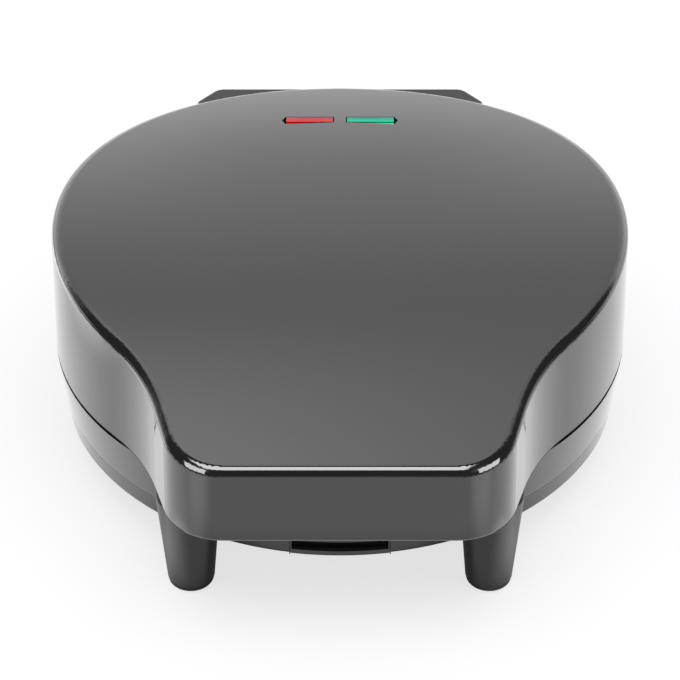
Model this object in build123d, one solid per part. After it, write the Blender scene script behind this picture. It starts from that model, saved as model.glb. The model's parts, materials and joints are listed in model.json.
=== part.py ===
from build123d import *
from math import atan2, cos, degrees, radians, sin, sqrt, tan
import os

# Countertop omelette maker with a hinged lid, closed.
# All sizes are millimetres. The model is drawn about the axis of the round body,
# with z = 0 on the table, and export() moves it so that the origin is under the
# middle of the whole appliance. -Y is the front, where the handle is.

# Overall sizes
body_radius = 110.0
rim_height = 42.1
lid_height = 50.7
parting_gap = 0.9
wall_foot = 15.1
wall_lean = 2.8
lid_draft = 1.3
crown_radius = 530.0
crown_setback = 15.1
crown_edge = 3.8

# Handle outline, measured outward from the round body
handle_overhang = 21.5
handle_shoulder = 52.7
handle_taper = 16.7
handle_corner = 22.5
waist_radius = 81.0

# Mouldings
lid_wall = 2.6
base_wall = 2.6
cover_wall = 2.2
edge_round = 1.2
rim_round = 0.35
seam_gap = 0.1
snug = 0.2
seat_gap = 0.3
boss_radius = 3.6

# Base seam and bottom cover
band_height = 8.8
band_inset = 0.1
band_chamfer = 0.2
tongue_height = 3.6
tongue_wall = 1.8
belly_inset = 26.0
belly_room = 4.5
vent_width = 2.6
vent_length = 34.0
vent_pitch = 8.0
vent_count = 7
vent_offset = 46.0

# Cooking plates
plate_inset = 12.0
flange_thickness = 3.0
plate_wall = 2.6
plate_rim = 14.0
pocket_depth = 14.0
pocket_corner = 20.0
pocket_draft = 15.0
pocket_fillet = 5.0
pocket_lip = 1.0
divider = 10.0
plate_clearance = 0.4
ledge_width = 4.0
ledge_thickness = 2.4
collar_wall = 2.4
channel_inset = 6.5
channel_width = 3.0
channel_depth = 0.9
plate_screw_inset = 24.0
plate_screw_bore = 1.6
plate_boss_radius = 4.4

# Heating elements and reflectors
element_diameter = 6.5
element_ring = 48.0
element_bend = 10.0
element_tail_x = 14.0
element_tail_inset = 4.0
element_pin = 7.0
element_pin_radius = 1.3
clip_width = 9.0
clip_thickness = 0.8
clip_ear = 9.4
clip_hole_offset = 6.9
clip_angles = (20.0, 160.0, 220.0, 320.0)
stud_radius = 1.4
stud_length = 1.8
reflector_sheet = 0.7
reflector_slope = 8.0
reflector_foot_inset = 2.0
reflector_lip = 1.8
reflector_gap = 0.4
tail_slot = 10.0

# Thermostat and thermal fuse
sensor_y = -23.0
sensor_foot = (30.0, 12.0, 1.0)
sensor_hole_offset = 11.5
sensor_radius = 7.8
sensor_height = 7.2
sensor_opening = 10.0
blade_size = (0.8, 6.2, 3.4)
blade_offset = 4.0
fuse_y = 24.0
fuse_radius = 2.0
fuse_length = 12.0
fuse_wire = 0.6
fuse_clip_sheet = 0.7
fuse_screw_x = 6.0
pad_margin = 4.0

# Front legs and rear feet
leg_offset = 5.74
leg_angle = 61.91
leg_foot_radius = 8.35
leg_flare = 0.084
leg_top_gap = 1.4
leg_wall = 2.5
leg_screw_drops = (11.6, 6.1)
pad_height = 3.0
pad_round = 2.2
pad_plug = 5.0
rear_foot_inset = 11.4
rear_foot_angle = 59.5
rear_foot_radius = 7.6
rear_foot_flare = 1.2

# Hinge
hinge_offset = 3.5
hinge_rise = 5.6
pin_radius = 2.0
pin_fixed = 0.01
pin_run = 0.06
lug_wall = 3.6
lug_inner_x = 30.0
lug_width = 12.0
lug_side_gap = 0.4
lug_swing_gap = 0.6
cheek = 4.6
block_half_width = 60.4
block_shoulder = 8.6
block_shoulder_depth = 11.0
block_offset = 9.5
block_lean = 1.5
block_rise = 36.2
block_foot_rise = 2.5
block_corner = 7.0
block_wall = 2.4
block_skin_gap = 0.1
block_screw_inner = 19.0
block_screw_outer = 51.5
block_screw_drop = 13.2

# Latch, its depths measured inward from the body's radius
notch_half_width = 18.4
notch_depth = 9.0
latch_side_gap = 0.35
latch_plate = 2.6
latch_grip_depth = 5.4
latch_grip_height = 9.0
latch_pivot_drop = 12.1
latch_pivot_inset = 7.0
latch_pin_radius = 1.5
latch_barrel_wall = 1.8
hook_half_width = 7.0
hook_rear_inset = 6.1
hook_front_inset = 3.5
hook_nose_inset = 1.0
hook_nose_rise = 6.4
hook_top_rise = 9.2
catch_outset = 0.9
catch_rise = 4.3
catch_depth = 3.2
hook_side_gap = 1.2
scoop_low = 2.5
scoop_high = 7.2
scoop_depth = 3.6
scoop_cheek = 0.5
pocket_side = 2.2
pocket_back = 1.8

# Indicator windows, placed inward from the body's radius at the rear
lens_rear_inset = 33.4
lens_depth_outer = 7.3
lens_depth_inner = 5.4
lens_inner_x = 2.4
lens_outer_x = 21.8
lens_point_x = 23.3
lens_point_depth = 3.4
lens_gap = 0.35
lens_ridge = 0.7
lens_flange = 1.1

# Cord inlet
inlet_bore = 3.75
inlet_rise = 2.1
inlet_reach = 7.0
inlet_wall = 2.45
collar_margin = 1.8
clamp_depth = 8.0
clamp_half_width = 9.0
clamp_screw_x = 6.3
clamp_bar_wall = 2.2

# Wires
supply_radius = 1.2
feed_radius = 1.0
lamp_lead_radius = 0.8
sleeve_radius = 2.2
sleeve_x = -9.0
sleeve_drop = 8.1
sleeve_bend = 4.4
sleeve_run = 2.0
lid_lead_rise = 19.0
lid_lead_inset = 10.0

# Terminal block
block_angle = 146.0
block_inset = 12.4
block_size = (24.0, 9.0, 11.0)
block_hole = 1.9
block_hole_x = 6.0

# Lid fittings
frame_thickness = 2.4
frame_pad = 2.0
kerb_wall = 1.6
kerb_height = 5.0
lid_boss_outset = 5.7
lid_boss_angles = (28.0, 152.0, 196.0, 344.0)
handle_boss_x = 37.5
handle_boss_inset = 12.0
rib_places = (-26.0, 0.0, 26.0)
rib_length = 62.0
rib_inset = 5.5
rib_depth = 9.0
rib_width = 1.6
cross_rib_inset = 20.0
cross_rib_half = 40.0
grip_half_width = 30.0
grip_length = 8.6
grip_depth = 3.2
grip_front = 4.0

# Lamps
lamp_radius = 2.9
lamp_length = 13.0
lamp_start = 3.6
lamp_wire = 4.0
lamp_drop = 4.5
lamp_screw_x = 32.0
holder_wall = 1.4
holder_half_depth = 6.4

# Screws as (length, thread radius, head radius)
plate_screw = (10.0, 1.5, 3.0)
cover_screw = (12.0, 1.2, 2.9)
frame_screw = (12.0, 1.05, 2.5)
sensor_screw = (4.5, 1.1, 2.2)
clamp_screw = (11.0, 1.05, 1.9)
lamp_screw = (7.0, 0.95, 2.0)
leg_screw = (9.0, 1.1, 2.6)
block_screw = (5.5, 1.05, 2.4)
head_share = 0.7
screw_play = 0.5


def crown_line(y, drop=0.0):
    """Height of the lid's arched top at y, or of a surface drop below it."""
    radius = crown_radius - drop
    return crown_height - crown_radius + sqrt(radius ** 2 - (y - crown_setback) ** 2)


# Levels that follow from the sizes above
lid_edge = rim_height + parting_gap
crown_height = lid_edge + lid_height
mirror_height = rim_height + parting_gap / 2
plate_face = mirror_height - seat_gap / 2
seat_height = plate_face - flange_thickness
ledge_low = seat_height - ledge_thickness
upper_ledge = 2 * mirror_height - seat_height
pocket_underside = plate_face - pocket_depth - plate_wall
element_radius = element_diameter / 2
element_z = pocket_underside - seat_gap - element_radius
clip_reach = element_radius + seat_gap
reflector_top = element_z - clip_reach - clip_thickness - reflector_gap
reflector_low = reflector_top - reflector_sheet
band_top = wall_foot + band_height
cover_floor = wall_foot + cover_wall
belly_floor = reflector_low - belly_room
belly_drop = cover_floor - belly_floor
screw_counterbore = 2.2
inlet_height = band_top + inlet_rise
hinge_z = lid_edge + hinge_rise
leg_top = lid_edge - leg_top_gap
frame_low = lid_edge + seat_gap
frame_top = frame_low + frame_thickness
frame_screw_seat = frame_low + 1.9
lid_lead_height = lid_edge + lid_lead_rise
block_top = lid_edge + block_rise
block_screw_z = block_top - block_screw_drop
latch_pivot_z = rim_height - latch_pivot_drop

# Radii and places that follow
foot_radius = body_radius - wall_lean
wall_slope = wall_lean / (rim_height - wall_foot)
base_inner = body_radius - base_wall
plate_radius = body_radius - plate_inset
pocket_radius = plate_radius - plate_rim
channel_radius = plate_radius - channel_inset
seat_radius = plate_radius + plate_clearance
collar_radius = seat_radius + collar_wall
ledge_radius = seat_radius - ledge_width - plate_clearance
plate_screw_y = (plate_screw_inset - plate_radius, 0.0, plate_radius - plate_screw_inset)
reflector_floor_radius = pocket_radius - reflector_foot_inset
reflector_top_radius = reflector_floor_radius + reflector_slope
element_tail_y = reflector_top_radius - element_tail_inset
belly_radius = body_radius - belly_inset
tongue = body_radius - (rim_height - band_top) * wall_slope - base_wall - snug
housing_boss_ring = seat_radius + 1.1
cover_boss_angles = (10.0, 75.0, 105.0, 170.0, 220.0, 320.0)
handle_reach = body_radius + handle_overhang
handle_half_width = body_radius - handle_shoulder
hinge_y = body_radius + hinge_offset
lug_radius = pin_radius + lug_wall
block_rear = body_radius + block_offset
latch_pivot_y = latch_pivot_inset - body_radius
latch_barrel = latch_pin_radius + latch_barrel_wall
hook_rear = hook_rear_inset - body_radius
hook_front = hook_front_inset - body_radius
hook_nose = hook_nose_inset - body_radius
hook_nose_low = lid_edge + hook_nose_rise
hook_top = lid_edge + hook_top_rise
catch_y = -catch_outset - body_radius
catch_top = lid_edge + catch_rise
notch_rear = notch_depth - foot_radius
lens_rear = body_radius - lens_rear_inset
lens_front_outer = lens_rear - lens_depth_outer
lens_front_inner = lens_rear - lens_depth_inner
lens_point_y = lens_rear - lens_point_depth
lens_low = crown_line(lens_rear + 2.0, lid_wall) - 1.3
lamp_y = (lens_rear + lens_front_outer) / 2
lamp_z = lens_low - lamp_drop
lamp_ear_top = lamp_z + 1.0
lamp_wire_end = lens_inner_x + lamp_start + lamp_length + lamp_wire
lamp_lead_x = lamp_wire_end + seat_gap + lamp_lead_radius
inlet_body = inlet_bore + inlet_wall
inlet_collar = inlet_body + collar_margin
sleeve_exit = rim_height - sleeve_drop
lid_sleeve_x = sleeve_x + 2 * (sleeve_bend + sleeve_run) + seat_gap
lid_lead_start = body_radius - lid_lead_inset
block_ring = body_radius - block_inset
lid_boss_ring = seat_radius + lid_boss_outset
body_shift = (handle_reach - block_rear) / 2

os.makedirs("parts", exist_ok=True)


def export(name, shape):
    export_step(Pos(0, body_shift, 0) * shape, "parts/" + name + ".step")


def base_radius(height):
    """Outer radius of the base's leaning wall."""
    return body_radius - (rim_height - height) * wall_slope


def polygon(points):
    return make_face(Polyline(*points, close=True))


def turned(points):
    """A solid of revolution about the body's axis from (radius, height) points."""
    return revolve(Plane.XZ * polygon(points), Axis.Z)


def group(pieces):
    """Separate solids that share one node."""
    return Compound([solid for piece in pieces for solid in piece.solids()])


def joined(pieces):
    """One solid from pieces that overlap."""
    whole = pieces[0]
    for piece in pieces[1:]:
        whole = whole + piece
    return whole


def box_between(low, high):
    size = [b - a for a, b in zip(low, high)]
    middle = [(a + b) / 2 for a, b in zip(low, high)]
    return Pos(*middle) * Box(*size)


def box_face(x_low, y_low, x_high, y_high):
    return Pos((x_low + x_high) / 2, (y_low + y_high) / 2) * Rectangle(x_high - x_low, y_high - y_low)


def rod(radius, start, end):
    """A round rod from one point to another."""
    run = Vector(*end) - Vector(*start)
    upright = Cylinder(radius, run.length, align=(Align.CENTER, Align.CENTER, Align.MIN))
    return Plane(origin=start, z_dir=run) * upright


def rod_x(radius, reach, y, z):
    """A rod along X, as far to one side as to the other."""
    return rod(radius, (-reach, y, z), (reach, y, z))


def post(x, y, radius, low, high):
    return Pos(x, y, low) * Cylinder(radius, high - low, align=(Align.CENTER, Align.CENTER, Align.MIN))


def cone(x, y, low_radius, high_radius, low, high):
    upright = Cone(low_radius, high_radius, high - low, align=(Align.CENTER, Align.CENTER, Align.MIN))
    return Pos(x, y, low) * upright


def around(radius, angles):
    return [(radius * cos(radians(a)), radius * sin(radians(a))) for a in angles]


def arc_middle(centre, start, end):
    return centre + ((start - centre) + (end - centre)).normalized() * (start - centre).length


def arc(centre, start, end):
    return ThreePointArc(start, arc_middle(centre, start, end), end)


def both_sides(low, high, side):
    """A stretch along X on the side asked for, smaller value first."""
    return (low, high) if side > 0 else (-high, -low)


# Lid outline

def lid_outline(inset):
    """Plan of the lid, a disc that runs out through two hollow waists to the handle.

    It is drawn anticlockwise, so that a tapered extrusion of it goes up.
    """
    lean = radians(handle_taper)
    along = Vector(sin(lean), cos(lean))
    outward = Vector(cos(lean), -sin(lean))
    body = body_radius - inset
    reach = handle_reach - inset
    corner = max(handle_corner - inset, 1.0)
    waist = waist_radius + inset
    half_width = handle_half_width - inset * (1 - sin(lean)) / cos(lean)
    start = Vector(half_width, -reach)
    first = start + outward * waist
    run = first.dot(along)
    slide = -run - sqrt(run * run - first.dot(first) + (body + waist) ** 2)
    waist_centre = first + along * slide
    body_end = waist_centre * (body / (body + waist))
    side_top = waist_centre - outward * waist
    corner_line = start - outward * corner
    corner_centre = corner_line + along * ((corner - reach - corner_line.Y) / along.Y)
    side_foot = corner_centre + outward * corner
    front_end = Vector(corner_centre.X, -reach)
    front = Line(Vector(-front_end.X, front_end.Y), front_end)
    right = [
        arc(corner_centre, front_end, side_foot),
        Line(side_foot, side_top),
        arc(waist_centre, side_top, body_end),
        arc(Vector(0, 0), body_end, Vector(0, body)),
    ]
    left = [edge.mirror(Plane.YZ) for edge in reversed(right)]
    return make_face([front] + right + left)


def drafted(inset, low, high):
    """The lid's outline drawn up from low to high, leaning in with the mould draft."""
    start = inset + tan(radians(lid_draft)) * (low - lid_edge)
    face = Pos(0, 0, low) * lid_outline(start)
    return extrude(face, amount=high - low, taper=lid_draft)


def under_crown(drop):
    """Everything below the lid's arched top, lowered by drop."""
    front = -handle_reach - 20
    rear = body_radius + 20
    arch = ThreePointArc(
        (front, crown_line(front, drop)),
        (crown_setback, crown_height - drop),
        (rear, crown_line(rear, drop)),
    )
    sides = Polyline((rear, crown_line(rear, drop)), (rear, 0), (front, 0), (front, crown_line(front, drop)))
    profile = make_face([arch] + sides.edges())
    return extrude(Plane.YZ * profile, amount=body_radius + 20, both=True)


def lid_form(inset, low, edge):
    """The lid's outer form, or its hollow when inset by the wall."""
    form = drafted(inset, low, crown_height + 10) & under_crown(inset)
    top = form.faces().sort_by(Axis.Z)[-1]
    return fillet(top.edges(), edge)


# Screws

def pan_screw(size, extra=0.0):
    """Cross-head screw on the Z axis: its head is under z = 0, its thread points up."""
    length, thread, head = size
    cap_height = head * head_share
    shank = Cylinder(thread, length + extra, align=(Align.CENTER, Align.CENTER, Align.MIN))
    cap = Cylinder(head, cap_height, align=(Align.CENTER, Align.CENTER, Align.MAX))
    cap = fillet(cap.edges().filter_by(GeomType.CIRCLE).sort_by(Axis.Z)[0], cap_height / 2)
    cross = Box(head * 1.2, 0.8, cap_height) + Box(0.8, head * 1.2, cap_height)
    return cap + shank - Pos(0, 0, -cap_height) * cross


def upright_screws(places, face, size):
    return group([Pos(x, y, face) * pan_screw(size) for x, y in places])


# Cooking plates, drawn as the lower one

def pocket_plan(inset):
    """Half-moon plan of one pocket, on the +X side of the divider."""
    radius = pocket_radius - inset
    flat = divider / 2 + inset
    reach = sqrt(radius ** 2 - flat ** 2)
    disc = make_face([
        ThreePointArc((flat, -reach), (radius, 0), (flat, reach)),
        Line((flat, reach), (flat, -reach)),
    ])
    return fillet(disc.vertices(), pocket_corner - inset)


def pocket_block(inset, depth):
    face = Pos(0, 0, plate_face) * pocket_plan(inset)
    block = extrude(face, amount=depth, taper=pocket_draft)
    return block.mirror(Plane.XY.offset(plate_face))


def pocket_hollow():
    hollow = pocket_block(0, pocket_depth)
    floor = hollow.faces().sort_by(Axis.Z)[0]
    return fillet(floor.edges(), pocket_fillet)


def clip_stud_places():
    places = []
    for angle in clip_angles:
        for radius in (element_ring - clip_hole_offset, element_ring + clip_hole_offset):
            places += around(radius, [angle])
    return places


def sensor_pad(y, length):
    """Boss across the divider that a sensor lies against."""
    half = divider / 2 + pad_margin
    return box_between((-half, y - length / 2, pocket_underside), (half, y + length / 2, seat_height + 1))


def cooking_plate(sensor_pads):
    plate = post(0, 0, plate_radius, seat_height, plate_face)
    under = pocket_block(-plate_wall, pocket_depth + plate_wall)
    plate += under + under.mirror(Plane.YZ)
    for y in plate_screw_y:
        plate += post(0, y, plate_boss_radius, reflector_top, seat_height + 1)
    for y, length in sensor_pads:
        plate += sensor_pad(y, length)
    for x, y in clip_stud_places():
        plate += post(x, y, stud_radius, pocket_underside - stud_length, pocket_underside + 1)
    hollow = pocket_hollow()
    plate -= hollow
    plate -= hollow.mirror(Plane.YZ)
    lips = plate.edges().filter_by_position(Axis.Z, plate_face - 0.01, plate_face + 0.01)
    plate = fillet(lips, pocket_lip)
    inner = channel_radius - channel_width / 2
    outer = channel_radius + channel_width / 2
    plate -= turned([
        (inner, plate_face + 1),
        (inner, plate_face),
        (channel_radius, plate_face - channel_depth),
        (outer, plate_face),
        (outer, plate_face + 1),
    ])
    for y in plate_screw_y:
        plate -= post(0, y, plate_screw_bore, reflector_top - 1, seat_height - 1)
    return plate


def upper(shape):
    """The same piece in the lid, facing its twin in the base."""
    return shape.mirror(Plane.XY.offset(mirror_height))


def lower_plate():
    plate = cooking_plate([(sensor_y, sensor_foot[0]), (fuse_y, 2 * (fuse_length + 1))])
    thread_top = pocket_underside + sensor_screw[0] + screw_play
    for x, y in foot_screw_places() + [(fuse_screw_x, fuse_y)]:
        plate -= post(x, y, sensor_screw[1] + 0.1, pocket_underside - 1, thread_top)
    return plate


def upper_plate():
    return upper(cooking_plate([]))


# Heating elements, clips and reflectors, drawn as the lower ones

def heating_element():
    """A ring of sheathed tube whose two ends turn out to the rear."""
    bend_x = element_tail_x + element_bend
    reach = element_ring + element_bend
    bend_centre = Vector(bend_x, sqrt(reach ** 2 - bend_x ** 2))
    bend_end = bend_centre * (element_ring / reach)
    bend_start = Vector(element_tail_x, bend_centre.Y)
    right = [
        Line((element_tail_x, element_tail_y), bend_start),
        arc(bend_centre, bend_start, bend_end),
    ]
    ring = ThreePointArc(bend_end, (0, -element_ring), (-bend_end.X, bend_end.Y))
    left = [edge.mirror(Plane.YZ) for edge in reversed(right)]
    path = Wire(right + [ring] + left)
    section = Plane(origin=(element_tail_x, element_tail_y, 0), z_dir=(0, -1, 0)) * Circle(element_radius)
    sheath = sweep(section, path=path)
    pin_end = element_tail_y + element_pin
    for x in (-element_tail_x, element_tail_x):
        sheath += rod(element_pin_radius, (x, element_tail_y - 1, 0), (x, pin_end, 0))
    return Pos(0, 0, element_z) * sheath


def element_clip():
    """Strap that holds the tube up against the plate, drawn across X at the origin."""
    drop = -seat_gap - element_radius
    outer = clip_reach + clip_thickness
    strap = Pos(0, drop) * Circle(outer) + box_face(-outer, drop, outer, 0)
    strap -= Pos(0, drop) * Circle(clip_reach)
    strap -= box_face(-clip_reach, drop, clip_reach, 1)
    strap += box_face(-clip_ear, -clip_thickness, -clip_reach, 0)
    strap += box_face(clip_reach, -clip_thickness, clip_ear, 0)
    clip = extrude(Plane.XZ * strap, amount=clip_width / 2, both=True)
    for x in (-clip_hole_offset, clip_hole_offset):
        clip -= post(x, 0, stud_radius + snug, -2, 1)
    return clip


def element_clips():
    clips = []
    for angle in clip_angles:
        x, y = around(element_ring, [angle])[0]
        clips.append(Pos(x, y, pocket_underside) * Rot(0, 0, angle) * element_clip())
    return group(clips)


def reflector(sensor_hole):
    """Pressed sheet pan whose lip clamps the plate to the ledge when its screws are tight."""
    lip_end = ledge_radius + reflector_lip
    pan = turned([
        (0, reflector_low),
        (reflector_floor_radius, reflector_low),
        (reflector_top_radius, ledge_low - reflector_sheet),
        (lip_end, ledge_low - reflector_sheet),
        (lip_end, ledge_low),
        (reflector_top_radius - reflector_sheet, ledge_low),
        (reflector_floor_radius - reflector_sheet, reflector_top),
        (0, reflector_top),
    ])
    for y in plate_screw_y:
        pan -= post(0, y, plate_screw[1] + 0.4, reflector_low - 1, reflector_top + 1)
    for x in (-element_tail_x, element_tail_x):
        low = (x - tail_slot / 2, reflector_floor_radius - tail_slot, reflector_top + 0.3)
        pan -= box_between(low, (x + tail_slot / 2, reflector_top_radius + 2, element_z + tail_slot / 2))
    if sensor_hole:
        pan -= post(0, sensor_y, sensor_opening, reflector_low - 1, reflector_top + 1)
    return pan


def plate_screws():
    return upright_screws([(0, y) for y in plate_screw_y], reflector_low, plate_screw)


# Base

def base_shell():
    low = band_top + seam_gap
    inner_low = base_radius(low) - base_wall
    roof = rim_height - base_wall
    inner_high = base_radius(roof) - base_wall
    return turned([
        (base_radius(low) - band_chamfer / 2, low),
        (base_radius(low + band_chamfer / 2), low + band_chamfer / 2),
        (base_radius(rim_height - rim_round), rim_height - rim_round),
        (base_radius(rim_height) - rim_round * 0.3, rim_height - rim_round * 0.3),
        (base_radius(rim_height) - rim_round, rim_height),
        (seat_radius, rim_height),
        (seat_radius, seat_height),
        (ledge_radius, seat_height),
        (ledge_radius, ledge_low),
        (collar_radius, ledge_low),
        (collar_radius, roof),
        (inner_high, roof),
        (inner_low, low),
    ])


def base_solid(clear, low, high):
    """The whole body of the base between two heights, grown by clear."""
    return turned([
        (0, high),
        (0, low),
        (base_radius(low) + clear, low),
        (base_radius(high) + clear, high),
    ])


def hinge_lug(x_low, x_high):
    """Upright ear behind the base wall that carries one hinge pin."""
    root = band_top + 1.2
    wall_y = sqrt(base_inner ** 2 - x_high ** 2) - 0.5
    near = hinge_y - lug_radius
    far = hinge_y + lug_radius
    ear = Pos(hinge_y, hinge_z) * Circle(lug_radius)
    web = polygon([
        (wall_y, rim_height - 0.5),
        (wall_y, root),
        (wall_y + base_wall + 1.5, root),
        (far, hinge_z - 3.0),
        (far, hinge_z),
        (near, hinge_z),
        (near, rim_height - 0.5),
    ])
    lug = extrude(Plane.YZ * (ear + web), amount=x_high - x_low, dir=(1, 0, 0))
    return Pos(x_low, 0, 0) * lug


def latch_pocket():
    """Walls inside the base that close it off behind the latch lever, and behind the cover's tongue."""
    outer_x = notch_half_width + pocket_side
    front_y = base_wall - body_radius
    tongue_end = band_top + tongue_height + snug
    outer = box_between((-outer_x, front_y, cover_floor), (outer_x, notch_rear + pocket_back, rim_height - 1))
    outer -= post(0, 0, body_radius, 0, tongue_end) - post(0, 0, tongue - tongue_wall - snug, 0, tongue_end)
    return outer - notch_cut(notch_rear, cover_floor - 1, rim_height - base_wall)


def notch_cut(rear, low, high):
    front = -(body_radius + 5)
    return box_between((-notch_half_width, front, low), (notch_half_width, rear, high))


def cord_hole():
    """Round way through the rear wall for the gland."""
    return rod(inlet_body + snug, (0, collar_radius, inlet_height), (0, body_radius + 5, inlet_height))


def lower_housing():
    shell = base_shell()
    roof = rim_height - base_wall
    boss_places = around(housing_boss_ring, cover_boss_angles)
    bosses = joined([post(x, y, boss_radius, cover_floor + frame_pad, roof + 1) for x, y in boss_places])
    shell += bosses & post(0, 0, base_radius(band_top), cover_floor, roof + 1)
    tongue_room = base_radius(band_top) - base_wall
    lugs = [hinge_lug(lug_inner_x, lug_inner_x + lug_width), hinge_lug(-lug_inner_x - lug_width, -lug_inner_x)]
    pocket = latch_pocket() & base_solid(0, 0, rim_height)
    shell += pocket
    shell -= post(0, 0, seat_radius, seat_height, rim_height + 1)
    shell += joined(lugs) - post(0, 0, tongue_room, 0, crown_height)
    shell -= notch_cut(-collar_radius - 2.6, 0, rim_height + 1)
    shell -= notch_cut(notch_rear, 0, roof) & base_solid(0, 0, rim_height)
    for x, y in boss_places:
        shell -= post(x, y, cover_screw[1] + 0.1, 0, roof - 2)
    lug_reach = lug_inner_x + lug_width + 5
    shell -= rod_x(pin_radius + pin_fixed, lug_reach, hinge_y, hinge_z)
    shell -= rod_x(latch_pin_radius + 0.02, notch_half_width + 1.7, latch_pivot_y, latch_pivot_z)
    shell -= cord_hole()
    sleeve_hole = sleeve_radius + snug
    shell -= rod(sleeve_hole, (sleeve_x, collar_radius, sleeve_exit), (sleeve_x, body_radius + 5, sleeve_exit))
    for x, y, out_x, out_y in leg_lines():
        for drop in leg_screw_drops:
            z = rim_height - drop
            shell -= rod(leg_screw[1] + 0.6, (x - 12 * out_x, y - 12 * out_y, z), (x, y, z))
    return shell


def leg_lines():
    """A point on each front leg's axis and the outward direction from the body to it."""
    lines = []
    for angle in (leg_angle - 180, -leg_angle):
        out_x, out_y = around(1, [angle])[0]
        reach = body_radius + leg_offset
        lines.append((reach * out_x, reach * out_y, out_x, out_y))
    return lines


def rear_foot_places():
    return around(body_radius - rear_foot_inset, [180 - rear_foot_angle, rear_foot_angle])


def cover_shell():
    top = base_radius(band_top) - band_inset
    slope_top = belly_radius + belly_drop
    return turned([
        (0, wall_foot - belly_drop),
        (belly_radius, wall_foot - belly_drop),
        (slope_top, wall_foot),
        (foot_radius - edge_round, wall_foot),
        (foot_radius - edge_round * 0.3, wall_foot + edge_round * 0.3),
        (foot_radius, wall_foot + edge_round),
        (top, band_top - band_chamfer),
        (top - band_chamfer, band_top),
        (tongue, band_top),
        (tongue, band_top + tongue_height),
        (tongue - tongue_wall, band_top + tongue_height),
        (tongue - tongue_wall, cover_floor),
        (slope_top - 0.9, cover_floor),
        (belly_radius - 0.9, belly_floor),
        (0, belly_floor),
    ])


def bottom_cover():
    cover = cover_shell()
    boss_places = around(housing_boss_ring, cover_boss_angles)
    for x, y in rear_foot_places():
        cover += cone(x, y, rear_foot_radius, rear_foot_radius + rear_foot_flare, pad_height, wall_foot + 0.5)
    for x, y in boss_places:
        cover += post(x, y, boss_radius + 0.6, wall_foot + 0.5, cover_floor + frame_pad)
    for x, y in rear_foot_places():
        bore = rear_foot_radius - cover_wall
        cover -= cone(x, y, bore, bore + rear_foot_flare * 0.7, pad_height - 1, cover_floor + 1)
    for x, y in boss_places:
        cover -= post(x, y, cover_screw[1] + screw_play, wall_foot - 1, cover_floor + 3)
        cover -= post(x, y, cover_screw[2] + 0.4, wall_foot - 1, wall_foot + screw_counterbore)
    slot = SlotOverall(vent_length, vent_width)
    for side in (-1, 1):
        for i in range(vent_count):
            y = (i - (vent_count - 1) / 2) * vent_pitch
            place = Pos(side * vent_offset, y, belly_floor - cover_wall - 1)
            cover -= extrude(place * slot, amount=cover_wall + 2)
    cover -= notch_cut(notch_rear, 0, rim_height)
    cover -= cord_hole()
    mouth = inlet_body + snug
    cover -= box_between((-mouth, collar_radius, inlet_height), (mouth, body_radius, rim_height))
    return cover


def cover_screws():
    places = around(housing_boss_ring, cover_boss_angles)
    return upright_screws(places, wall_foot + screw_counterbore, cover_screw)


def leg_radius(height):
    return leg_foot_radius + leg_flare * height


def front_leg(side):
    """Tapered pillar whose back fits the round wall of the base."""
    x, y, out_x, out_y = leg_lines()[0 if side < 0 else 1]
    pillar = cone(x, y, leg_radius(pad_height), leg_radius(leg_top), pad_height, leg_top)
    pillar = fillet(pillar.edges().sort_by(Axis.Z)[-1], edge_round)
    low_bore = leg_radius(pad_height) - leg_wall
    high_bore = leg_radius(leg_top) - leg_wall
    hollow = cone(x, y, low_bore, high_bore, pad_height - 1, leg_top - leg_wall)
    clear = snug / 2
    leg = pillar - (hollow - base_solid(leg_wall, wall_foot - leg_wall, leg_top + 1))
    for drop in leg_screw_drops:
        z = rim_height - drop
        boss = rod(leg_screw[2], (x - 10 * out_x, y - 10 * out_y, z), (x + 5 * out_x, y + 5 * out_y, z))
        leg += boss & pillar
    leg -= base_solid(clear, wall_foot - clear, leg_top + 1)
    for drop in leg_screw_drops:
        z = rim_height - drop
        end = (x + 3.5 * out_x, y + 3.5 * out_y, z)
        leg -= rod(leg_screw[1] + 0.1, (x - 12 * out_x, y - 12 * out_y, z), end)
    return leg


def leg_screws():
    screws = []
    for x, y, out_x, out_y in leg_lines():
        for drop in leg_screw_drops:
            z = rim_height - drop
            seat = base_radius(z - leg_screw[2]) - base_wall - snug / 2
            tilt = Plane(origin=(seat * out_x, seat * out_y, z), z_dir=(out_x, out_y, 0))
            screws.append(tilt * pan_screw(leg_screw))
    return group(screws)


def foot_pad(x, y, radius, plug):
    pad = post(x, y, radius, 0, pad_height)
    pad = fillet(pad.edges().sort_by(Axis.Z)[0], pad_round)
    return pad + post(x, y, plug, pad_height, pad_height + pad_plug)


def front_pad(side):
    x, y = leg_lines()[0 if side < 0 else 1][:2]
    return foot_pad(x, y, leg_radius(0), leg_radius(pad_height) - leg_wall - snug)


def rear_pad(side):
    x, y = rear_foot_places()[0 if side < 0 else 1]
    return foot_pad(x, y, rear_foot_radius - snug, rear_foot_radius - cover_wall - snug)


# Latch

def wall_front(height):
    """Where the base's wall stands at the front, on the middle line."""
    return -base_radius(height)


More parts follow.
